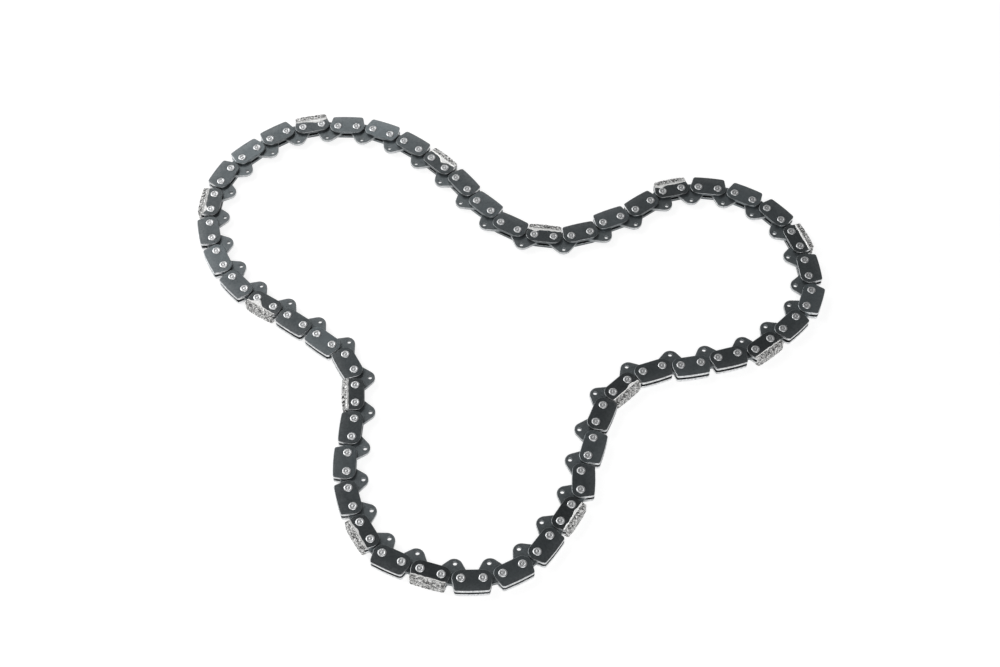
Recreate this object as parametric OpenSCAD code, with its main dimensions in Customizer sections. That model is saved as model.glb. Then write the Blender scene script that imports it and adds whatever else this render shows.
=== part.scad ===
// Diamond saw chain for cutting pipe and stone, lying on its side as a closed loop.
// Drive links with a guide tang alternate with pairs of side plates. At every fourth
// station the side plates carry a sintered diamond segment, and in between they are
// tall bumper plates. A hubbed rivet at each joint holds the plates and lets the
// drive link turn on its hub. The tangs point to the inside of the loop.
// Lengths are in millimetres, angles in degrees, +Z is up and z = 0 is the floor.

/* [Pitch] */
// Mean distance from rivet to rivet along the chain
pitch = 9.525; // [9:0.005:10.5]
// How much further apart the rivets of a side plate are than those of a drive link
pitch_split = 0.97; // [0:0.01:1.5]

/* [Side plates] */
// Thickness of a side plate
plate_t = 1.5; // [1:0.05:2.2]
// Gap between the round ends of two side plates in a row
plate_gap = 0.54; // [0.3:0.02:1.2]
// Height of a bumper plate's crown above the rivet line
bumper_h = 6.7; // [5.5:0.1:8]
// How far a bumper plate's outer corner reaches past the rivet
bumper_reach = 3.25; // [2.4:0.05:3.4]
// Radius of a bumper plate's outer corners
bumper_corner_r = 1.35; // [0.6:0.05:1.8]
// How much the crown of a bumper plate falls off towards its corners
bumper_fall = 0.25; // [0.1:0.05:0.6]
// Height above the rivet line of the plate edge that carries a diamond segment
seat_h = 4.7; // [4.4:0.1:5]

/* [Drive links] */
// Thickness of a drive link, which is the width of the guide bar's groove less its play
drive_t = 1.6; // [1.1:0.05:2]
// Gap between the round ends of two drive links in a row
drive_gap = 1.6; // [1:0.05:2.4]
// Depth of the tang's tip below the rivet line
tang_depth = 9.7; // [8:0.1:11]
// Radius of the tang's tip
tang_tip_r = 4.1; // [2.5:0.1:4.2]
// Diameter of the oil hole in the tang
oil_hole_d = 2; // [1:0.1:2.6]
// Distance from the tang's tip to the middle of the oil hole
oil_hole_up = 2.4; // [2:0.1:3.2]
// Depth of the hollow in the drive link's outer edge
waist = 0.8; // [0.5:0.05:1]

/* [Rivets] */
// Diameter of the rivet's hub, which the drive link turns on
hub_d = 5.2; // [4.4:0.05:5.6]
// Diameter of the rivet's shanks, which the side plates sit on
shank_d = 3.6; // [2.8:0.05:4]
// Diameter of the riveted heads
head_d = 4.2; // [3.8:0.05:4.8]
// Height of the riveted heads
head_h = 0.35; // [0.2:0.05:0.45]
// Diameter of the dimple that the riveting tool leaves in each head
dimple_d = 2; // [1:0.1:2.6]
// Depth of that dimple
dimple_depth = 0.15; // [0.05:0.05:0.18]

/* [Diamond segments] */
// Width of a segment, which is the width of the cut
segment_w = 5.7; // [5.5:0.1:7]
// Height of a segment's crown above the rivet line
segment_h = 6.8; // [6:0.1:8]
// How far a segment reaches past the rivet
segment_reach = 3.4; // [2.4:0.05:3.6]
// Radius of the segment's outer corners
segment_corner_r = 1; // [0.5:0.1:1.6]
// How much the crown of a segment falls off towards its corners
segment_fall = 0.35; // [0.1:0.05:0.6]
// How far the segment's cheeks lap down over the faces of its side plates
cheek_lap = 0.7; // [0.2:0.1:1]
// How far the bonding metal runs down over the plate faces below the cheeks
bond_lap = 0.8; // [0.2:0.1:1]
// Thickness of the bonding metal at its lower edge
bond_t = 0.12; // [0.05:0.01:0.3]

/* [Clearances] */
// Radial play of a drive link on the rivet's hub
hub_play = 0.05; // [0.02:0.01:0.1]
// Play between a drive link's face and the side plate beside it
side_play = 0.05; // [0.02:0.01:0.1]
// Radial play of a rivet's shank in its side plates
shank_play = 0.01; // [0.01:0.01:0.05]

/* [Hidden] */
$fn = 48;
crown_fn = 360;

// Chain make-up: a station is a pair of side plates, and drive link k joins station k to
// the next one. Link numbers count both kinds, so station k is link 2k and drive link k
// is link 2k + 1.
stations = 50;
link_count = 2 * stations;
diamond_stations = [0, 4, 8, 12, 16, 20, 24, 28, 32, 34, 38, 42, 46];

// Drive links on hinges, as pairs that point opposite ways round the loop and swing
// together like two parallel cranks, so that the loop stays closed.
hinge_pairs = [[3, 39], [11, 29], [14, 42], [17, 45], [21, 49], [25, 36]];
hinged = [for (k = [0:stations - 1]) if (len([for (p = hinge_pairs) if (p[0] == k || p[1] == k) 1]) > 0) k];
sections = len(hinged);

// How the loop lies: [link number, direction of that link], the chain running clockwise
// seen from above and turning evenly between these links.
lie = [
    [0, 12], [1, -10], [2, -2], [5, -33], [11, -57], [12, -44], [13, -56], [14, -31],
    [16, -9], [18, 15], [19, 40], [20, 23], [23, 42], [24, 13], [33, -81], [35, -88],
    [37, -132], [40, -142], [41, -167], [43, -163], [45, -179], [46, -161], [51, -100],
    [53, -113], [54, -93], [55, -120], [58, -126], [63, -193], [66, -207], [67, -232],
    [73, -278], [77, -264], [79, -221], [84, -214], [91, -266], [96, -317], [97, -317]
];

// Derived sizes
plate_pitch = pitch + pitch_split / 2;
drive_pitch = pitch - pitch_split / 2;
plate_end_r = (drive_pitch - plate_gap) / 2;
drive_end_r = (plate_pitch - drive_gap) / 2;
hub_l = drive_t + 2 * side_play;
plate_out = hub_l / 2 + plate_t;
hub_hole_d = hub_d + 2 * hub_play;
shank_hole_d = shank_d + 2 * shank_play;
middle_z = segment_w / 2;

// Outlines are strings of discs [x, y, radius] up the right-hand side, mirrored to the
// left. A crown arc [height, fall] joins the topmost pair where there is one.
bumper_corner = [
    plate_pitch / 2 + bumper_reach - bumper_corner_r,
    bumper_h - bumper_fall - bumper_corner_r,
    bumper_corner_r];
plate_end = [plate_pitch / 2, 0, plate_end_r];
segment_x = plate_pitch / 2 + segment_reach;
segment_corner = [
    segment_x - segment_corner_r,
    segment_h - segment_fall - segment_corner_r,
    segment_corner_r];
seat_corner_r = 0.5;
seat_corner = [segment_x - seat_corner_r, seat_h - seat_corner_r, seat_corner_r];
bumper_discs = [plate_end, bumper_corner];
carrier_discs = [plate_end, seat_corner];
tang_tip = [0, tang_tip_r - tang_depth, tang_tip_r];
drive_discs = [tang_tip, [drive_pitch / 2, 0, drive_end_r]];

// Small helpers
function centre(disc) = [disc[0], disc[1]];
function sum(v) = len(v) == 0 ? 0 : [for (x = v) 1] * v;
function is_diamond(k) = len([for (d = diamond_stations) if (d == k) 1]) > 0;
function two_digits(n) = n < 10 ? str("0", n) : str(n);

// Direction in which the right-hand tangent from disc a to disc b touches both
function touch_angle(a, b) =
    let (way = centre(b) - centre(a))
    atan2(way.y, way.x) - acos((a[2] - b[2]) / norm(way));
// The ends of a flank lie a hair inside its discs, so that no sliver is left beside them
function touch_point(disc, angle) =
    centre(disc) + (disc[2] - 0.00005) * [cos(angle), sin(angle)];
function right_side(discs) = [
    for (i = [0:len(discs) - 2])
        let (angle = touch_angle(discs[i], discs[i + 1]))
        each [touch_point(discs[i], angle), touch_point(discs[i + 1], angle)]
];

// Outline wrapped round a string of discs and its mirror image
module wrapped(discs) {
    first = discs[0];
    last = discs[len(discs) - 1];
    right = concat(
        [[0, first[1] - first[2]], [first[0], first[1] - first[2]]],
        right_side(discs),
        [[last[0], last[1] + last[2]], [0, last[1] + last[2]]]);
    for (side = [0, 1])
        mirror([side, 0]) {
            for (disc = discs)
                if (disc[0] > 0 || side == 0)
                    translate(centre(disc)) circle(disc[2]);
            polygon(right);
        }
}

// Shallow arc over a corner disc and its mirror image, tangent to both
module crown(corner, height, fall) {
    rise = corner[0] * corner[0] / fall;
    radius = (rise + fall) / 2 + corner[2];
    intersection() {
        translate([0, height - radius]) circle(radius, $fn = crown_fn);
        translate([-corner[0], corner[1]]) square([2 * corner[0], height - corner[1]]);
    }
}

// Directions of all links. The second drive link of a pair points opposite the first.
function is_hinged(k) = len([for (h = hinged) if (h == k) 1]) > 0;
lie_closed = concat(lie, [[link_count, lie[0][1] - 360]]);
function first_of_pair(k) = [for (p = hinge_pairs) if (p[1] == k) p[0]];
function laid(i) =
    let (leader = i % 2 == 1 ? first_of_pair((i - 1) / 2) : [])
    len(leader) > 0 ? lookup(2 * leader[0] + 1, lie_closed) + 180 : lookup(i, lie_closed);
laid_links = [for (i = [0:link_count - 1]) laid(i)];
link_l = [for (i = [0:link_count - 1]) i % 2 == 0 ? plate_pitch : drive_pitch];

// The loop is closed exactly by a slow wave added to the directions of the links that
// are not hinged. Its two amplitudes come from a few Newton steps.
wave = [for (i = [0:link_count - 1])
    i % 2 == 1 && is_hinged((i - 1) / 2) ? [0, 0]
        : [cos(360 * i / link_count), sin(360 * i / link_count)]];
function directions(c) = laid_links + wave * c;
function miss(d) = sum([for (i = [0:link_count - 1]) link_l[i] * [cos(d[i]), sin(d[i])]]);
function slope(d, w) = sum([for (i = [0:link_count - 1])
    link_l[i] * w[i] * PI / 180 * [-sin(d[i]), cos(d[i])]]);
wave_a = [for (w = wave) w[0]];
wave_b = [for (w = wave) w[1]];
function cross_z(u, v) = u.x * v.y - u.y * v.x;
function closing(c, steps) =
    steps == 0 ? c :
    let (
        d = directions(c),
        e = miss(d),
        sa = slope(d, wave_a),
        sb = slope(d, wave_b),
        det = cross_z(sa, sb))
    closing(c - [cross_z(e, sb), cross_z(sa, e)] / det, steps - 1);
turned = directions(closing([0, 0], 6));

// Rivet places, with the box of the whole chain centred on the origin
link_step = [for (i = [0:link_count - 1]) link_l[i] * [cos(turned[i]), sin(turned[i])]];
raw_rivets = [for (i = 0, p = [0, 0]; i < link_count; p = p + link_step[i], i = i + 1) p];
function turn_by(p, a) = [p.x * cos(a) - p.y * sin(a), p.x * sin(a) + p.y * cos(a)];
function both_sides(discs) = [for (d = discs) for (s = [-1, 1]) [s * d[0], d[1], d[2]]];
function outer_discs(i) =
    i % 2 == 1 ? both_sides(drive_discs) :
    is_diamond(i / 2) ? both_sides([plate_end, segment_corner, [0, segment_h, 0]]) :
    both_sides([plate_end, bumper_corner, [0, bumper_h, 0]]);
reach_discs = [for (i = [0:link_count - 1]) for (d = outer_discs(i))
    let (p = raw_rivets[i] + link_step[i] / 2 + turn_by(centre(d), turned[i]))
    [p.x, p.y, d[2]]];
box_low = [for (n = [0, 1]) min([for (d = reach_discs) d[n] - d[2]])];
box_high = [for (n = [0, 1]) max([for (d = reach_discs) d[n] + d[2]])];
rivets_at = [for (p = raw_rivets) p - (box_low + box_high) / 2];

// Puts its children on link i: +X along the link, +Y to the outside of the loop
module on_link(i) {
    middle = rivets_at[i] + link_step[i] / 2;
    translate([middle.x, middle.y, middle_z]) rotate(turned[i]) children();
}

// Stations of a section, which runs from one hinged drive link to the next
function first_station(s) = s == 0 ? 0 : hinged[s - 1] + 1;
function stations_of(s) = [for (k = [first_station(s):hinged[s]]) k];
function diamonds_of(s) = [for (k = stations_of(s)) if (is_diamond(k)) k];

// One side plate, its inner face on z = 0
module side_plate(diamond) {
    linear_extrude(plate_t)
        difference() {
            if (diamond)
                wrapped(carrier_discs);
            else {
                wrapped(bumper_discs);
                crown(bumper_corner, bumper_h, bumper_fall);
            }
            for (side = [-1, 1])
                translate([side * plate_pitch / 2, 0]) circle(d = shank_hole_d);
        }
}

// Side plates of a section, an upper and a lower one at each station
module side_plates(s) {
    color([0.2, 0.21, 0.22])
        for (k = stations_of(s))
            on_link(2 * k)
                for (side = [0, 1])
                    mirror([0, 0, side])
                        translate([0, 0, hub_l / 2]) side_plate(is_diamond(k));
}

// One drive link, centred on the middle plane
module drive_link() {
    waist_half = drive_pitch / 2 - drive_end_r / 4;
    waist_r = (waist_half * waist_half + waist * waist) / (2 * waist);
    translate([0, 0, -drive_t / 2])
        linear_extrude(drive_t)
            difference() {
                wrapped(drive_discs);
                translate([0, drive_end_r - waist + waist_r]) circle(waist_r, $fn = crown_fn);
                translate([0, oil_hole_up - tang_depth]) circle(d = oil_hole_d);
                for (side = [-1, 1])
                    translate([side * drive_pitch / 2, 0]) circle(d = hub_hole_d);
            }
}

// Drive links inside a section
module drive_links(s) {
    color([0.23, 0.24, 0.25])
        for (k = stations_of(s))
            if (k < hinged[s])
                on_link(2 * k + 1) drive_link();
}

// The hinged drive link that follows a section
module hinged_drive_link(s) {
    color([0.23, 0.24, 0.25]) on_link(2 * hinged[s] + 1) drive_link();
}

// One rivet: hub between the plates, shanks through them and a dimpled head outside
module rivet() {
    head_top = plate_out + head_h;
    upper = [
        [hub_d / 2, hub_l / 2], [shank_d / 2, hub_l / 2],
        [shank_d / 2, plate_out], [head_d / 2, plate_out],
        [head_d / 2, plate_out + head_h / 3], [(head_d + dimple_d) / 4, head_top],
        [dimple_d / 2, head_top], [dimple_d / 4, head_top - dimple_depth],
        [0, head_top - dimple_depth]];
    lower = [for (i = [len(upper) - 1:-1:0]) [upper[i].x, -upper[i].y]];
    rotate_extrude() polygon(concat(upper, lower));
}

// Rivets of a section, two at each station
module rivets(s) {
    color([0.75, 0.76, 0.78])
        for (k = stations_of(s))
            for (i = [2 * k, 2 * k + 1])
                translate([rivets_at[i].x, rivets_at[i].y, middle_z]) rivet();
}

// One diamond segment: a block on the outer edges of its two side plates, with cheeks
// that lap over the plate faces and taper into the bonding metal
module diamond_segment() {
    cheek_h = seat_h - cheek_lap;
    bond_h = cheek_h - bond_lap;
    half_w = segment_w / 2;
    side = [
        [segment_h, half_w], [cheek_h, half_w], [bond_h, plate_out + bond_t],
        [bond_h, plate_out], [seat_h, plate_out]];
    profile = concat(side, [for (i = [len(side) - 1:-1:0]) [side[i].x, -side[i].y]]);
    intersection() {
        rotate([90, 0, 90])
            linear_extrude(2 * segment_x, center = true) polygon(profile);
        translate([0, 0, -half_w])
            linear_extrude(segment_w) {
                for (end = [0, 1])
                    mirror([end, 0]) {
                        translate(centre(segment_corner)) circle(segment_corner_r);
                        square([segment_x, segment_corner[1]]);
                    }
                crown(segment_corner, segment_h, segment_fall);
            }
    }
}

// Diamond segments of a section
module diamond_segments(s) {
    color([0.62, 0.62, 0.6])
        for (k = diamonds_of(s))
            on_link(2 * k) diamond_segment();
}

// Nodes
section_list = [for (s = [0:sections - 1]) s];
diamond_sections = [for (s = section_list) if (len(diamonds_of(s)) > 0) s];
function node_name(kind, s) = str(kind, "_", two_digits(s + 1));

for (s = section_list) {
    side_plates(s);
    rivets(s);
    drive_links(s);
    hinged_drive_link(s);
}
for (s = diamond_sections)
    diamond_segments(s);
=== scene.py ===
import math
import random

import bpy
import numpy as np
from mathutils import Matrix, Vector, noise
from mathutils.geometry import tessellate_polygon


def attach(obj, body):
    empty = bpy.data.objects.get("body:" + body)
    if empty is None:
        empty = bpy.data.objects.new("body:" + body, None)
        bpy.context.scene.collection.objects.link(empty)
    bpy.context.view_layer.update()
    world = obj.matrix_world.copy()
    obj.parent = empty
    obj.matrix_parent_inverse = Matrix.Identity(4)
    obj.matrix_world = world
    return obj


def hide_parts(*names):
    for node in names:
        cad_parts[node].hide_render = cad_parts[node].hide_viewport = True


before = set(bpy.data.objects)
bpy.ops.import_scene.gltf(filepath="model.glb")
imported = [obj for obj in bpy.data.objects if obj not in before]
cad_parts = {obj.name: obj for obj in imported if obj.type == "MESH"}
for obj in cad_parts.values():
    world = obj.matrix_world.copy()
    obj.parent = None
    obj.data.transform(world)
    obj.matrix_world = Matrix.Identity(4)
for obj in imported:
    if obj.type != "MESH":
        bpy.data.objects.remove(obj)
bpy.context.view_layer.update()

MM = 0.001

# Sizes of the links in millimetres, as in the part's source
PLATE_T = 1.5
PLATE_END_R = 4.25
BUMPER_H, BUMPER_REACH, BUMPER_CORNER_R, BUMPER_FALL = 6.7, 3.25, 1.35, 0.25
SEAT_H, SEAT_CORNER_R = 4.7, 0.5
DRIVE_T, DRIVE_END_R = 1.6, 4.205
TANG_DEPTH, TANG_TIP_R = 9.7, 4.1
OIL_HOLE_R, OIL_HOLE_UP, WAIST = 1.0, 2.4, 0.8
HUB_R, SHANK_R, HEAD_R, HEAD_H = 2.6, 1.8, 2.1, 0.35
PLATE_IN, PLATE_OUT, MIDDLE_Z = 0.85, 2.35, 2.85
SEGMENT_W, SEGMENT_H, SEGMENT_REACH = 5.7, 6.8, 3.4
SEGMENT_CORNER_R, SEGMENT_FALL, CHEEK_LOW = 1.0, 0.35, 4.0
EDGE_R = 0.26

# How far an edge is rubbed on its way from the flat face round to the wall, where the oxide
# is only rubbed thin, and where the wall is bared to the steel. The same values paint a
# highlight along the bevel and on the outer walls: partly real rubbing, partly painted light
RUBBED_EDGE_AND_HIGHLIGHT = (0.06, 0.3, 0.45, 0.1)
BARE_WALL_AND_HIGHLIGHT = (0.12, 0.6, 0.95, 1.0)


# ---- The chain's lay, read from the frame ----

def solids(node):
    """Vertices of each separate solid of a CAD node, in millimetres."""
    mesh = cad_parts[node].data
    co = np.empty(len(mesh.vertices) * 3)
    mesh.vertices.foreach_get("co", co)
    co = co.reshape(-1, 3) / MM
    loops = np.empty(len(mesh.loops), np.int64)
    mesh.loops.foreach_get("vertex_index", loops)
    places, same = np.unique(co.round(3), axis=0, return_inverse=True)
    triangles = same.ravel()[loops].reshape(-1, 3)
    label = np.arange(len(places))
    while True:
        lowest = label[triangles].min(1)
        new = label.copy()
        np.minimum.at(new, triangles.ravel(), np.repeat(lowest, 3))
        new = new[new]
        if (new == label).all():
            break
        label = new
    return [places[label == part] for part in np.unique(label)]


def middle(points):
    return (points.min(0) + points.max(0))[:2] / 2


sections = sorted(n[-2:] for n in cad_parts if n.startswith("side_plates_"))
rivets = np.array([middle(p) for s in sections for p in solids("rivets_" + s)])


def own_rivets(points):
    """The two rivets that a plate or drive link sits on."""
    near = np.linalg.norm(rivets - middle(points), axis=1)
    return tuple(int(i) for i in np.argsort(near)[:2])


plate_at, drive_at = {}, {}
for s in sections:
    for p in solids("side_plates_" + s):
        if p[:, 2].mean() > MIDDLE_Z:
            a, b = own_rivets(p)
            plate_at[a], plate_at[b] = (b, s), (a, s)
    for node in ("drive_links_" + s, "hinged_drive_link_" + s):
        for p in solids(node):
            a, b = own_rivets(p)
            drive_at[a], drive_at[b] = (b, node), (a, node)

first = own_rivets(solids("diamond_segments_01")[0])
walk = []
here = first[0]
while len(walk) < len(rivets):
    over, section = plate_at[here]
    walk.append((here, over, "side_plates_" + section))
    on, node = drive_at[over]
    walk.append((over, on, node))
    here = on
    if here == first[0]:
        break
ring = rivets[[w[0] for w in walk]]
area = sum(a[0] * b[1] - a[1] * b[0] for a, b in zip(ring, np.roll(ring, -1, 0)))
if area > 0:
    walk = [(b, a, node) for a, b, node in reversed(walk)]
    start = next(i for i, w in enumerate(walk) if set(w[:2]) == set(first))
    walk = walk[start:] + walk[:start]


class Link:
    """A link's place: +X runs on to the next link, clockwise from above, and +Y outwards."""

    def __init__(self, index, a, b, node):
        self.index, self.node = index, node
        self.section = node[-2:]
        p, q = Vector(rivets[a]), Vector(rivets[b])
        self.half = (q - p).length / 2
        along, centre = (q - p).normalized(), (p + q) / 2
        self.to_row = Matrix((
            (along.x, -along.y, 0, centre.x),
            (along.y, along.x, 0, centre.y),
            (0, 0, 1, MIDDLE_Z),
            (0, 0, 0, 1)))


links = [Link(i, *w) for i, w in enumerate(walk)]
stations, drives = links[::2], links[1::2]
diamond = {
    k for k, link in enumerate(stations)
    for s in sections if "diamond_segments_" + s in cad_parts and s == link.section
    for p in solids("diamond_segments_" + s)
    if np.linalg.norm(middle(p) - np.array(link.to_row.translation[:2])) < 8}


# ---- Mesh helpers ----

class Form:
    """A mesh in the making: vertices in millimetres, faces, a value that the materials turn into
    rubbed edges, darker grooves and painted light, and a tone value.
    """

    def __init__(self):
        self.verts, self.faces, self.smooth, self.wear, self.tone = [], [], [], [], []

    def add(self, verts, faces, smooth, wear=0.0, tone=1.0):
        base = len(self.verts)
        self.verts += verts
        self.faces += [tuple(base + i for i in f) for f in faces]
        self.smooth += [smooth] * len(faces) if isinstance(smooth, bool) else list(smooth)
        self.wear += [wear] * len(verts) if isinstance(wear, float) else list(wear)
        self.tone += [tone] * len(verts)

    def place(self, other, matrix, tone=1.0):
        base = len(self.verts)
        self.verts += [matrix @ Vector(v) for v in other.verts]
        self.faces += [tuple(base + i for i in f) for f in other.faces]
        self.smooth += other.smooth
        self.wear += other.wear
        self.tone += [t * tone for t in other.tone]

    def piece(self, name, body, slot, material, *replaced):
        mesh = bpy.data.meshes.new(name)
        mesh.from_pydata([Vector(v) * MM for v in self.verts], [], self.faces)
        mesh.polygons.foreach_set("use_smooth", self.smooth)
        for key, values in (("wear", self.wear), ("tone", self.tone)):
            mesh.attributes.new(key, "FLOAT", "POINT").data.foreach_set("value", values)
        mesh.materials.append(material)
        mesh.update()
        piece = bpy.data.objects.new(name, mesh)
        bpy.context.scene.collection.objects.link(piece)
        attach(piece, body)
        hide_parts(*replaced)
        return piece


def arc(x, y, r, start, end, step=7.5):
    count = max(2, math.ceil(abs(end - start) / step) + 1)
    turns = [math.radians(start + (end - start) * i / (count - 1)) for i in range(count)]
    return [(x + r * math.cos(t), y + r * math.sin(t)) for t in turns]


def touch(a, b):
    """Direction in which the right-hand tangent of two discs (x, y, radius) touches both."""
    dx, dy = b[0] - a[0], b[1] - a[1]
    return math.degrees(math.atan2(dy, dx) - math.acos((a[2] - b[2]) / math.hypot(dx, dy)))


def mirrored(right):
    """Closed outline from its right half, which runs up from the lowest point."""
    left = [(-x, y) for x, y in reversed(right)]
    points = right + left
    kept = [p for i, p in enumerate(points) if math.dist(p, points[i - 1]) > 1e-4]
    return kept


def bumper_outline(half):
    end = (half, 0, PLATE_END_R)
    corner = (half + BUMPER_REACH - BUMPER_CORNER_R,
              BUMPER_H - BUMPER_FALL - BUMPER_CORNER_R, BUMPER_CORNER_R)
    crown_r = (corner[0] ** 2 / BUMPER_FALL + BUMPER_FALL) / 2 + BUMPER_CORNER_R
    crown_y = BUMPER_H - crown_r
    turn = touch(end, corner)
    rise = math.degrees(math.atan2(corner[1] - crown_y, corner[0]))
    return mirrored(arc(*end, -90, turn) + arc(*corner, turn, rise, 12)
                    + arc(0, crown_y, crown_r, rise, 90, 1))


def carrier_outline(half):
    end = (half, 0, PLATE_END_R)
    corner = (half + SEGMENT_REACH - SEAT_CORNER_R, SEAT_H - SEAT_CORNER_R, SEAT_CORNER_R)
    turn = touch(end, corner)
    return mirrored(arc(*end, -90, turn) + arc(*corner, turn, 90, 20))


def drive_outline(half):
    tip = (0, TANG_TIP_R - TANG_DEPTH, TANG_TIP_R)
    end = (half, 0, DRIVE_END_R)
    turn = touch(tip, end)
    waist_x = half - DRIVE_END_R / 4
    waist_r = (waist_x ** 2 + WAIST ** 2) / (2 * WAIST)
    waist_y = DRIVE_END_R - WAIST + waist_r
    steps = [waist_x * i / 5 for i in range(5, -1, -1)]
    return mirrored(arc(*tip, -90, turn) + arc(*end, turn, 90)
                    + [(x, waist_y - math.sqrt(waist_r ** 2 - x * x)) for x in steps])


def inset(loop, depth):
    """A closed loop moved to its left by a depth: inwards where it runs anticlockwise."""
    moved = []
    for i, (x, y) in enumerate(loop):
        (px, py), (nx, ny) = loop[i - 1], loop[(i + 1) % len(loop)]
        a, b = Vector((x - px, y - py)).normalized(), Vector((nx - x, ny - y)).normalized()
        way = Vector((-a.y - b.y, a.x + b.x))
        way *= 2 / way.length_squared
        moved.append((x + way.x * depth, y + way.y * depth))
    return moved


def zero_bared_and_highlit(y):
    return 0.0


def outer_bared_and_highlit(y):
    """How far a side plate's wall is bared at a height above the rivet line: partly real rubbing,
    partly a painted highlight on the outer wall.
    """
    t = max(0.0, min(1.0, (y + 0.5) / 2.5))
    return t * t * (3 - 2 * t)


def tang_bared_and_highlit(y):
    """How far a drive link's wall is bared, from the rivet line down to the tang's tip: partly real
    rubbing, partly a painted highlight on the tang's wall.
    """
    return 0.7 * max(0.0, min(1.0, (-4.0 - y) / 3.0))


def blank(outline, holes, low, high, edge_r, bared_and_highlit=zero_bared_and_highlit, hole_edge_r=0.12, steps=3):
    """A plate cut from sheet, with rounded edges. holes are (x, y, radius)."""
    form = Form()
    caps = {low: [], high: []}
    rims = [(outline, edge_r, bared_and_highlit)] + [
        (list(reversed(arc(x, y, r, 0, 360 - 15, 15))), hole_edge_r, zero_bared_and_highlit)
        for x, y, r in holes]
    for loop, r, worn_and_highlit in rims:
        rings = []
        for side, base in ((1, low), (-1, high)):
            turns = [math.pi / 2 * i / steps for i in range(steps + 1)]
            edge = [(r * (1 - math.sin(t)), base + side * r * (1 - math.cos(t))) for t in turns]
            rings += edge if side == 1 else list(reversed(edge))
        count = len(loop)
        verts, wear = [], []
        for i, (depth, z) in enumerate(rings):
            verts += [(x, y, z) for x, y in inset(loop, depth)]
            level = min(i, len(rings) - 1 - i)
            # Per ring, from the flat face round to the wall: rubbed oxide and bared steel, partly
            # real and partly a painted highlight along the bevel and the wall
            wear += [RUBBED_EDGE_AND_HIGHLIGHT[level] + (BARE_WALL_AND_HIGHLIGHT[level] - RUBBED_EDGE_AND_HIGHLIGHT[level]) * worn_and_highlit(y) for _, y in loop]
        base = len(form.verts)
        faces = [(i * count + j, i * count + (j + 1) % count,
                  (i + 1) * count + (j + 1) % count, (i + 1) * count + j)
                 for i in range(len(rings) - 1) for j in range(count)]
        form.add(verts, faces, True, wear)
        caps[low].append(range(base, base + count))
        caps[high].append(range(base + (len(rings) - 1) * count, base + len(rings) * count))
    for level, loops in caps.items():
        flat = [i for loop in loops for i in loop]
        up = 1 if level == high else -1
        cap = []
        polygon = [[Vector(form.verts[i][:2] + (0,)) for i in loop] for loop in loops]
        for a, b, c in tessellate_polygon(polygon):
            a, b, c = flat[a], flat[b], flat[c]
            (ax, ay, _), (bx, by, _), (cx, cy, _) = (form.verts[i] for i in (a, b, c))
            turn = (bx - ax) * (cy - ay) - (by - ay) * (cx - ax)
            if abs(turn) > 1e-9:
                cap.append((a, b, c) if turn * up > 0 else (a, c, b))
        form.faces += cap
        form.smooth += [False] * len(cap)
    return form


def lathe(profile, count=32):
    """A turned solid from (radius, z, wear value) up its side; its ends lie on the axis."""
    form = Form()
    verts, wear, rows = [], [], []
    for r, z, w in profile:
        rows.append((len(verts), 1 if r == 0 else count))
        for i in range(rows[-1][1]):
            t = 2 * math.pi * i / count
            verts.append((r * math.cos(t), r * math.sin(t), z))
            wear.append(w)
    faces = []
    for (a, na), (b, nb) in zip(rows, rows[1:]):
        for i in range(count):
            j = (i + 1) % count
            if na == 1:
                faces.append((a, b + j, b + i))
            elif nb == 1:
                faces.append((a + i, a + j, b))
            else:
                faces.append((a + i, a + j, b + j, b + i))
    form.add(verts, faces, True, wear)
    return form


# ---- Materials ----

def nodes_of(name):
    material = bpy.data.materials.new(name)
    material.use_nodes = True
    tree = material.node_tree
    return material, tree, tree.nodes["Principled BSDF"]


def noise_node(tree, scale, detail=3.0, rough=0.55, name="Noise"):
    where = tree.nodes.get("Where") or tree.nodes.new("ShaderNodeTexCoord")
    where.name = "Where"
    node = tree.nodes.new("ShaderNodeTexNoise")
    node.inputs["Scale"].default_value = scale
    node.inputs["Detail"].default_value = detail
    node.inputs["Roughness"].default_value = rough
    tree.links.new(where.outputs["Object"], node.inputs["Vector"])
    return node.outputs["Fac"]


def ramp(tree, value, *stops):
    """Colour ramp from (position, colour or grey) stops."""
    node = tree.nodes.new("ShaderNodeValToRGB")
    while len(node.color_ramp.elements) < len(stops):
        node.color_ramp.elements.new(0.5)
    for element, (position, colour) in zip(node.color_ramp.elements, stops):
        element.position = position
        grey = isinstance(colour, (int, float))
        element.color = (colour,) * 3 + (1,) if grey else (*colour, 1)
    tree.links.new(value, node.inputs["Fac"])
    return node.outputs["Color"]


def math_node(tree, operation, a, b, clamp=False):
    node = tree.nodes.new("ShaderNodeMath")
    node.operation, node.use_clamp = operation, clamp
    for socket, value in zip(node.inputs, (a, b)):
        if isinstance(value, (int, float)):
            socket.default_value = value
        else:
            tree.links.new(value, socket)
    return node.outputs[0]


def mix(tree, factor, a, b, blend="MIX"):
    node = tree.nodes.new("ShaderNodeMix")
    node.data_type, node.blend_type = "RGBA", blend
    for socket, value in ((node.inputs["Factor"], factor), (node.inputs[6], a), (node.inputs[7], b)):
        if isinstance(value, (int, float)):
            socket.default_value = value
        elif isinstance(value, tuple):
            socket.default_value = (*value, 1)
        else:
            tree.links.new(value, socket)
    return node.outputs[2]


def attribute(tree, name):
    node = tree.nodes.new("ShaderNodeAttribute")
    node.attribute_name = name
    return node.outputs["Fac"]


def bump(tree, shader, height, distance, strength):
    node = tree.nodes.new("ShaderNodeBump")
    node.inputs["Distance"].default_value = distance
    node.inputs["Strength"].default_value = strength
    tree.links.new(height, node.inputs["Height"])
    tree.links.new(node.outputs["Normal"], shader.inputs["Normal"])


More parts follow.
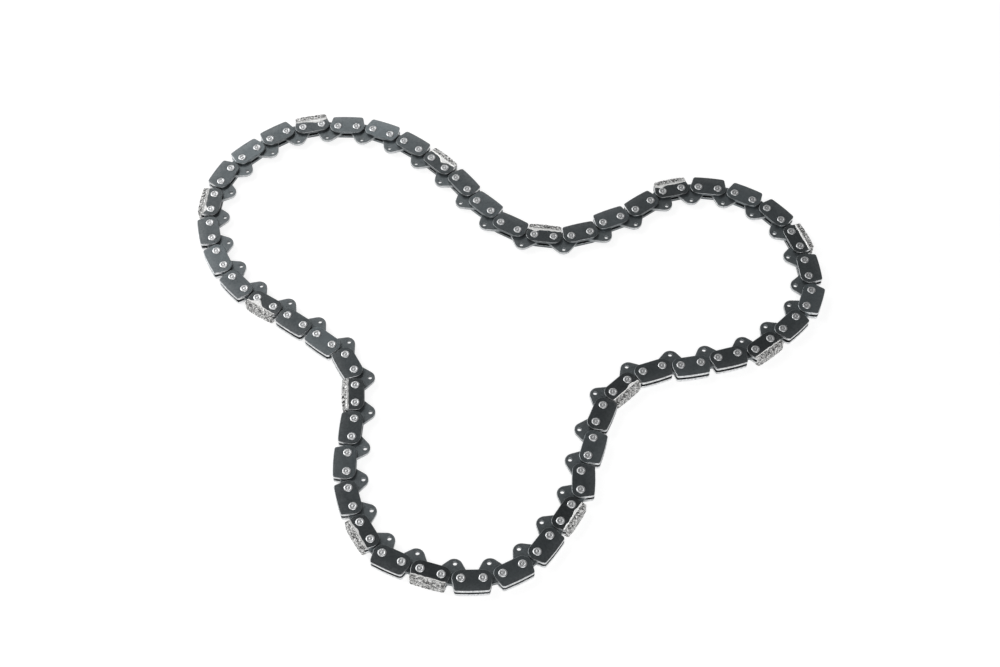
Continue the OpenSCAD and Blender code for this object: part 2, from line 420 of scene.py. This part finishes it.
def oxide(name, skin, rough_low, rough_high):
    """Satin black oxide on blanked steel: faintly clouded, and rubbed through at its edges, where
    the pale steel also carries a painted highlight on the bevels and walls.
    """
    material, tree, shader = nodes_of(name)
    grain = noise_node(tree, 5200, 2, 0.7)
    dark, light = (tuple(c * share for c in skin) for share in (0.92, 1.14))
    colour = ramp(tree, noise_node(tree, 240, 3, 0.5), (0.3, dark), (0.7, light))
    speckle = ramp(tree, grain, (0.32, 0.8), (0.66, 1.0))
    colour = mix(tree, 1.0, colour, speckle, "MULTIPLY")
    tone = tree.nodes.new("ShaderNodeCombineColor")
    for socket in tone.inputs:
        tree.links.new(attribute(tree, "tone"), socket)
    colour = mix(tree, 1.0, colour, tone.outputs[0], "MULTIPLY")
    # Rubbed edges and walls turn to pale steel: partly real rubbing, partly a painted highlight
    worn_and_highlit = math_node(tree, "MULTIPLY", attribute(tree, "wear"),
                     ramp(tree, noise_node(tree, 900, 3, 0.7), (0.32, 0.5), (0.58, 1.0)), True)
    colour = mix(tree, worn_and_highlit, colour, BARE_STEEL_AND_HIGHLIGHT)
    tree.links.new(colour, shader.inputs["Base Color"])
    shader.inputs["Metallic"].default_value = 0.9
    tree.links.new(ramp(tree, noise_node(tree, 1500, 3), (0.3, rough_low), (0.7, rough_high)),
                   shader.inputs["Roughness"])
    bump(tree, shader, grain, 0.00003, 0.2)
    return material


def bright_steel(name, low, high, groove_colour, rough_low, rough_high, metallic=1.0):
    """Bare metal, drawn darker in its grooves."""
    material, tree, shader = nodes_of(name)
    colour = ramp(tree, noise_node(tree, 1700, 3), (0.3, low), (0.7, high))
    groove_darkening = math_node(tree, "MULTIPLY", attribute(tree, "wear"),
                     ramp(tree, noise_node(tree, 1300, 2), (0.25, 0.55), (0.6, 1.0)), True)
    colour = mix(tree, groove_darkening, colour, groove_colour)
    tree.links.new(colour, shader.inputs["Base Color"])
    shader.inputs["Metallic"].default_value = metallic
    tree.links.new(ramp(tree, noise_node(tree, 2600, 2), (0.3, rough_low), (0.7, rough_high)),
                   shader.inputs["Roughness"])
    bump(tree, shader, noise_node(tree, 3800, 2), 0.00003, 0.4)
    return material


def grit(name):
    """Sintered diamond: a pale, rubbed matrix, painted shade darkening its pits, and clear crystals.
    """
    material, tree, shader = nodes_of(name)
    clump = noise_node(tree, 1150, 3, 0.65)
    colour = ramp(tree, clump, (0.39, (0.05, 0.05, 0.05)), (0.48, (0.38, 0.38, 0.375)),
                  (0.57, (0.95, 0.95, 0.94)))
    # Painted shade: the lower the surface lies, the darker it is drawn
    painted_pit_shade = ramp(tree, attribute(tree, "wear"), (0.05, 0.3), (0.6, 1.0))
    colour = mix(tree, 1.0, colour, painted_pit_shade, "MULTIPLY")
    tree.links.new(colour, shader.inputs["Base Color"])
    shader.inputs["Metallic"].default_value = 0.4
    tree.links.new(ramp(tree, noise_node(tree, 3000, 2), (0.35, 0.25), (0.65, 0.55)),
                   shader.inputs["Roughness"])
    bump(tree, shader, noise_node(tree, 5200, 2), 0.00006, 0.6)
    return material


# Pale steel of rubbed edges, kept light enough to stand also as a painted highlight on the plates'
# walls
BARE_STEEL_AND_HIGHLIGHT = (0.82, 0.83, 0.84)
PLATE = oxide("black_oxide", (0.083, 0.099, 0.106), 0.28, 0.36)
DRIVE = oxide("grey_oxide", (0.112, 0.131, 0.139), 0.38, 0.48)
RIVET = bright_steel("spun_steel", (0.64, 0.65, 0.66), (0.82, 0.83, 0.84),
                     (0.3, 0.305, 0.31), 0.38, 0.5)
GRIT = grit("diamond_grit")
BOND = bright_steel("bonding_metal", (0.9, 0.9, 0.89), (0.97, 0.97, 0.96),
                    (0.6, 0.6, 0.59), 0.3, 0.45, 0.3)


# ---- Side plates and drive links ----

def plate_form(half, has_segment):
    outline = carrier_outline(half) if has_segment else bumper_outline(half)
    holes = [(side * half, 0, SHANK_R + 0.01) for side in (-1, 1)]
    return blank(outline, holes, PLATE_IN, PLATE_OUT, EDGE_R, outer_bared_and_highlit)


def drive_form(half):
    holes = [(side * half, 0, HUB_R + 0.05) for side in (-1, 1)]
    holes.append((0, OIL_HOLE_UP - TANG_DEPTH, OIL_HOLE_R))
    return blank(drive_outline(half), holes, -DRIVE_T / 2, DRIVE_T / 2, EDGE_R, tang_bared_and_highlit)


FLIP = Matrix.Diagonal((-1, 1, -1, 1))
bumper, carrier = (plate_form(stations[0].half, d) for d in (False, True))
drive = drive_form(drives[0].half)
chance = random.Random(11)
plate_forms = {s: Form() for s in sections}


def station_tone(k):
    """The plates are drawn darkest on the carriers and lightest midway between two of them."""
    if k in diamond:
        return 0.6
    beside = {(k - 1) % len(stations), (k + 1) % len(stations)} & diamond
    return 0.95 if beside else 1.45


# Each station also gets a random tone: partly real differences in finish, partly painted light for
# the brightness a slight tilt of each plate would give
for k, link in enumerate(stations):
    shape = carrier if k in diamond else bumper
    for turn in (Matrix(), FLIP):
        plate_forms[link.section].place(
            shape, link.to_row @ turn, station_tone(k) * chance.uniform(0.88, 1.12))
drive_forms = {}
# The drive links get the same random tone: partly finish, partly painted light for slight tilts
for link in drives:
    drive_forms.setdefault(link.node, Form()).place(
        drive, link.to_row, chance.uniform(0.88, 1.12))

for s in sections:
    plate_forms[s].piece("plates_" + s, "section_" + s, "plate_steel", PLATE,
                         "side_plates_" + s)
for node, form in drive_forms.items():
    inner = node.startswith("drive_links_")
    form.piece(("links_" if inner else "hinge_link_") + node[-2:],
               ("section_" if inner else "link_") + node[-2:], "link_steel", DRIVE, node)


# ---- Rivets ----

def rivet_form():
    """Hub, shanks and two spun heads, each with a ring, a groove and a small centre boss."""
    top = PLATE_OUT + HEAD_H
    # The third number darkens the steel: most in the head's groove and where the head's rim meets
    # the plate
    upper = [
        (HUB_R, 0.75, 0.0), (HUB_R - 0.1, PLATE_IN, 0.0), (SHANK_R, PLATE_IN, 0.0),
        (SHANK_R, PLATE_OUT, 0.6), (HEAD_R - 0.08, PLATE_OUT, 0.5),
        (HEAD_R, PLATE_OUT + 0.07, 0.3), (HEAD_R - 0.04, PLATE_OUT + 0.17, 0.1),
        (HEAD_R - 0.16, top - 0.1, 0.0), (HEAD_R - 0.36, top - 0.03, 0.0),
        (1.5, top, 0.0), (1.28, top - 0.02, 0.1), (1.12, top - 0.08, 0.4),
        (0.98, top - 0.13, 0.6), (0.74, top - 0.14, 0.6), (0.56, top - 0.11, 0.3),
        (0.4, top - 0.06, 0.0), (0.22, top - 0.035, 0.0), (0, top - 0.03, 0.0)]
    lower = [(r, -z, w) for r, z, w in reversed(upper)]
    return lathe(lower + upper)


rivet = rivet_form()
rivet_forms = {s: Form() for s in sections}
for k, link in enumerate(stations):
    for side in (-1, 1):
        turn = Matrix.Translation((side * link.half, 0, 0)) @ Matrix.Rotation(
            chance.uniform(0, 2 * math.pi), 4, "Z")
        rivet_forms[link.section].place(rivet, link.to_row @ turn)
for s in sections:
    rivet_forms[s].piece("spun_rivets_" + s, "section_" + s, "rivet_steel", RIVET,
                         "rivets_" + s)


# ---- Diamond segments ----

HALF_W = SEGMENT_W / 2
CORNER_X = stations[0].half + SEGMENT_REACH - SEGMENT_CORNER_R
CORNER_Y = SEGMENT_H - SEGMENT_FALL - SEGMENT_CORNER_R
CROWN_R = (CORNER_X ** 2 / SEGMENT_FALL + SEGMENT_FALL) / 2 + SEGMENT_CORNER_R
CROWN_Y = SEGMENT_H - CROWN_R


def slab(outline, low, high):
    """A closed form: an outline drawn up from one height to another."""
    count = len(outline)
    verts = [(px, py, z) for z in (low, high) for px, py in outline]
    faces = [tuple(reversed(range(count))), tuple(range(count, 2 * count))]
    faces += [(i, (i + 1) % count, count + (i + 1) % count, count + i) for i in range(count)]
    form = Form()
    form.add(verts, faces, False)
    return form


def block_mesh():
    """An even mesh of small faces: a block on the plates' edges and a cheek outside each."""
    side, lap = CORNER_X + SEGMENT_CORNER_R, SEAT_H + 0.6
    rise = math.degrees(math.atan2(CORNER_Y - CROWN_Y, CORNER_X))
    body = mirrored([(0, SEAT_H), (side, SEAT_H)]
                    + arc(CORNER_X, CORNER_Y, SEGMENT_CORNER_R, 0, rise, 10)
                    + arc(0, CROWN_Y, CROWN_R, rise, 90, 1))
    cheek = mirrored([(0, CHEEK_LOW), (side, CHEEK_LOW), (side, lap), (0, lap)])
    whole = Form()
    for outline, low, high in ((body, -HALF_W, HALF_W), (cheek, -HALF_W, -PLATE_OUT),
                               (cheek, PLATE_OUT, HALF_W)):
        whole.place(slab(outline, low, high), Matrix())
    mesh = bpy.data.meshes.new("block")
    mesh.from_pydata(whole.verts, [], whole.faces)
    block = bpy.data.objects.new("block", mesh)
    bpy.context.scene.collection.objects.link(block)
    remesh = block.modifiers.new("even", "REMESH")
    remesh.mode, remesh.voxel_size, remesh.use_smooth_shade = "VOXEL", 0.2, True
    even = block.evaluated_get(bpy.context.evaluated_depsgraph_get()).to_mesh()
    verts = [v.co.copy() for v in even.vertices]
    normals = [v.normal.copy() for v in even.vertices]
    faces = [tuple(p.vertices) for p in even.polygons]
    bpy.data.objects.remove(block)
    bpy.data.meshes.remove(mesh)
    return verts, normals, faces


def crystal(r):
    """A blunt octahedron, the usual shape of a saw diamond."""
    form = Form()
    verts = [Vector(v) * r for v in (
        (1, 0, 0), (-1, 0, 0), (0, 1, 0), (0, -1, 0), (0, 0, 1), (0, 0, -1))]
    faces = [(0, 2, 4), (2, 1, 4), (1, 3, 4), (3, 0, 4),
             (2, 0, 5), (1, 2, 5), (3, 1, 5), (0, 3, 5)]
    form.add(verts, faces, False, 1.0)
    return form


GRAIN_R = 0.3
block_verts, block_normals, block_faces = block_mesh()
grain_form = crystal(GRAIN_R)


def held_in(co, r):
    """The middle of a crystal, moved so that the crystal stays inside the CAD segment."""
    x, y, z = co
    if abs(x) > CORNER_X and y > CORNER_Y:
        off = Vector((abs(x) - CORNER_X, y - CORNER_Y))
        off *= min(1.0, (SEGMENT_CORNER_R - r) / off.length)
        x, y = math.copysign(CORNER_X + off.x, x), CORNER_Y + off.y
    else:
        side = CORNER_X + SEGMENT_CORNER_R - r
        x = max(-side, min(side, x))
        y = min(y, CROWN_Y + math.sqrt((CROWN_R - r) ** 2 - x * x))
    return Vector((x, max(y, CHEEK_LOW + r), max(r - HALF_W, min(HALF_W - r, z))))


def foot(co):
    """Height of the segment's foot: on the plates' edges, and lower down its cheeks."""
    lean = max(0.0, min(1.0, (abs(co.z) - PLATE_OUT) / 0.3))
    return SEAT_H + (CHEEK_LOW - SEAT_H) * lean


def segment_form(seed):
    """Pitted block with proud crystals, all inside the CAD segment."""
    dice = random.Random(seed)
    shift = Vector([dice.uniform(-90, 90) for _ in range(3)])
    verts, wear = [], []
    for co, normal in zip(block_verts, block_normals):
        coarse = noise.fractal((co + shift) * 0.85, 1.0, 2.0, 2)
        cells = noise.voronoi((co + shift) * 1.35)[0][0]
        high = max(-1.0, min(1.0, 0.9 * coarse + 0.9 * (0.5 - cells)))
        free = max(0.0, min(1.0, (co.y - foot(co)) / 0.5))
        verts.append(co + normal * (0.2 * high - 0.22) * free)
        # The surface's height, which the grit material turns into painted shade in the pits
        wear.append(0.5 + 0.5 * high)
    form = Form()
    form.add(verts, block_faces, True, wear)
    for _ in range(230):
        i = dice.randrange(len(verts))
        co, normal = verts[i], block_normals[i]
        if co.y < foot(co) + 0.4:
            continue
        size = dice.uniform(0.7, 1.25)
        centre = held_in(co + normal * dice.uniform(-0.12, 0.06), GRAIN_R * size)
        turn = Matrix.Rotation(dice.uniform(0, 6.3), 4, Vector(
            [dice.uniform(-1, 1) for _ in range(3)]))
        form.place(grain_form, Matrix.Translation(centre) @ turn @ Matrix.Scale(size, 4))
    return form


# How far the bonding metal has run down at a station: (place along the plate, height of
# its lowest point above the rivet line, half width)
RUNS = {0: (3.0, 1.6, 4.2), 4: (1.0, 1.3, 2.3), 8: (-5.0, 2.0, 1.8), 12: (-5.0, 2.0, 1.8),
        24: (-4.0, 2.3, 1.8), 28: (-3.0, 2.6, 1.8), 34: (2.0, 2.5, 2.0),
        42: (3.0, 0.3, 2.3), 46: (-5.0, 1.8, 1.9)}


def bond_form(seed, run):
    """A bead of bonding metal from the plate's face up the foot of the segment's cheek."""
    dice = random.Random(seed)
    shift = dice.uniform(0, 90)
    columns, rows = 60, 8
    reach = stations[0].half + SEGMENT_REACH - 0.12
    at, low, width = run
    form = Form()
    top, under = [], []
    for i in range(columns + 1):
        x = reach * (2 * i / columns - 1)
        edge = 3.25 + 0.3 * noise.noise(Vector((x * 0.45, shift, 0)))
        edge += 0.12 * noise.noise(Vector((x * 1.6, shift, 5)))
        edge -= (edge - low) * math.exp(-((x - at) / width) ** 2)
        for j in range(rows + 1):
            v = j / rows
            y = edge + (4.3 - edge) * v
            lip = math.sin(math.pi / 2 * min(1, v * 4)) * 0.12
            climb = 0.3 * max(0.0, (y - 3.3)) ** 2 if y > 3.3 else 0
            ripple = 0.02 * noise.noise(Vector((x * 1.3, y * 1.3, shift)))
            z = min(PLATE_OUT + 0.01 + lip + climb + ripple, HALF_W - 0.02)
            top.append((x, y, z if j else PLATE_OUT - 0.02))
            under.append((x, y, PLATE_OUT - 0.04))
    span = rows + 1
    verts = top + under
    offset = len(top)
    faces, smooth = [], []
    for i in range(columns):
        for j in range(rows):
            a, b, c, d = (i * span + j, (i + 1) * span + j,
                          (i + 1) * span + j + 1, i * span + j + 1)
            faces += [(a, b, c, d), (offset + d, offset + c, offset + b, offset + a)]
            smooth += [True, False]
    for i in range(columns):
        for j, flip in ((0, False), (rows, True)):
            a, b = i * span + j, (i + 1) * span + j
            face = (a, offset + a, offset + b, b)
            faces.append(tuple(reversed(face)) if flip else face)
            smooth.append(False)
    for j in range(rows):
        for i, flip in ((0, True), (columns, False)):
            a, b = i * span + j, i * span + j + 1
            face = (a, offset + a, offset + b, b)
            faces.append(tuple(reversed(face)) if flip else face)
            smooth.append(False)
    form.add(verts, faces, smooth, 0.0)
    return form


segment_forms, bond_forms = {}, {}
for k in sorted(diamond):
    link = stations[k]
    segment_forms.setdefault(link.section, Form()).place(segment_form(100 + k), link.to_row)
    bonds = bond_forms.setdefault(link.section, Form())
    bonds.place(bond_form(200 + k, RUNS.get(k, (0, 3.2, 1.0))), link.to_row)
    under = bond_form(300 + k, (chance.uniform(-5, 5), chance.uniform(2, 3), 2.0))
    bonds.place(under, link.to_row @ FLIP)
for s in segment_forms:
    segment_forms[s].piece("segments_" + s, "section_" + s, "diamond_matrix", GRIT,
                           "diamond_segments_" + s)
    bond_forms[s].piece("bonding_" + s, "section_" + s, "diamond_matrix", BOND,
                        "diamond_segments_" + s)


# ---- Floor, light and camera ----

def light_ray(tree):
    """1 for rays from the camera or off a gloss, 0 for the rays that carry light."""
    path = tree.nodes.new("ShaderNodeLightPath")
    seen = math_node(tree, "ADD", path.outputs["Is Camera Ray"], path.outputs["Is Glossy Ray"])
    return math_node(tree, "ADD", seen, path.outputs["Is Transmission Ray"], True)


FLOOR_HALF = 10
FLOOR_GLOW, GLOW_SHARE = 1.26, 0.63
WORLD_LIGHT = 0.12

# Softboxes: azimuth and elevation in degrees, distance and size in metres, radiance.
# Azimuth 0 is behind the chain, positive to the right.
LAMPS = {
    "back_left": (-22, 42, 1.3, 0.4, 1.1),
    "back": (-8, 36, 1.3, 0.4, 1.5),
    "back_right": (18, 40, 1.3, 0.4, 0.4),
    "side_left": (-62, 36, 1.3, 0.92, 3.6),
    "front": (170, 48, 1.5, 1.1, 3.2)}


def make_floor():
    """A white floor that keeps the chain's shadow and shows white in the metal too."""
    material, tree, shader = nodes_of("white_floor")
    shader.inputs["Base Color"].default_value = (0.9, 0.9, 0.9, 1)
    shader.inputs["Roughness"].default_value = 1.0
    shader.inputs["Specular IOR Level"].default_value = 0.0
    glow = tree.nodes.new("ShaderNodeEmission")
    glow.inputs["Strength"].default_value = FLOOR_GLOW
    both = tree.nodes.new("ShaderNodeMixShader")
    tree.links.new(math_node(tree, "MULTIPLY", light_ray(tree), GLOW_SHARE), both.inputs[0])
    tree.links.new(shader.outputs[0], both.inputs[1])
    tree.links.new(glow.outputs[0], both.inputs[2])
    tree.links.new(both.outputs[0], tree.nodes["Material Output"].inputs["Surface"])
    mesh = bpy.data.meshes.new("floor")
    corners = [(x * FLOOR_HALF, y * FLOOR_HALF, 0) for x, y in ((-1, -1), (1, -1), (1, 1), (-1, 1))]
    mesh.from_pydata(corners, [], [(0, 1, 2, 3)])
    mesh.materials.append(material)
    floor = bpy.data.objects.new("floor", mesh)
    bpy.context.scene.collection.objects.link(floor)


def softbox(name, azimuth, elevation, distance, size, radiance):
    """A square area light aimed at the chain."""
    a, e = math.radians(azimuth), math.radians(elevation)
    away = Vector((math.sin(a) * math.cos(e), math.cos(a) * math.cos(e), math.sin(e)))
    data = bpy.data.lights.new(name, "AREA")
    data.size = size
    data.energy = radiance * math.pi * size * size
    lamp = bpy.data.objects.new(name, data)
    bpy.context.scene.collection.objects.link(lamp)
    lamp.location = away * distance
    lamp.rotation_euler = away.to_track_quat("Z", "Y").to_euler()


make_floor()
for name, lamp in LAMPS.items():
    softbox(name, *lamp)

world = bpy.data.worlds.new("surround")
bpy.context.scene.world = world
world.use_nodes = True
sky = world.node_tree.nodes["Background"]
sky.inputs["Color"].default_value = (1, 1, 1, 1)
sky.inputs["Strength"].default_value = WORLD_LIGHT

camera_data = bpy.data.cameras.new("camera")
camera_data.sensor_width = 36
camera_data.lens = 62.09
camera = bpy.data.objects.new("camera", camera_data)
bpy.context.scene.collection.objects.link(camera)
camera.location = (-0.00343, -0.48781, 0.69895)
camera.rotation_euler = (
    Matrix.Rotation(math.radians(34.957), 4, "X")
    @ Matrix.Rotation(math.radians(-0.5907), 4, "Z")).to_euler()
bpy.context.scene.camera = camera
bpy.context.scene.view_settings.view_transform = "Standard"
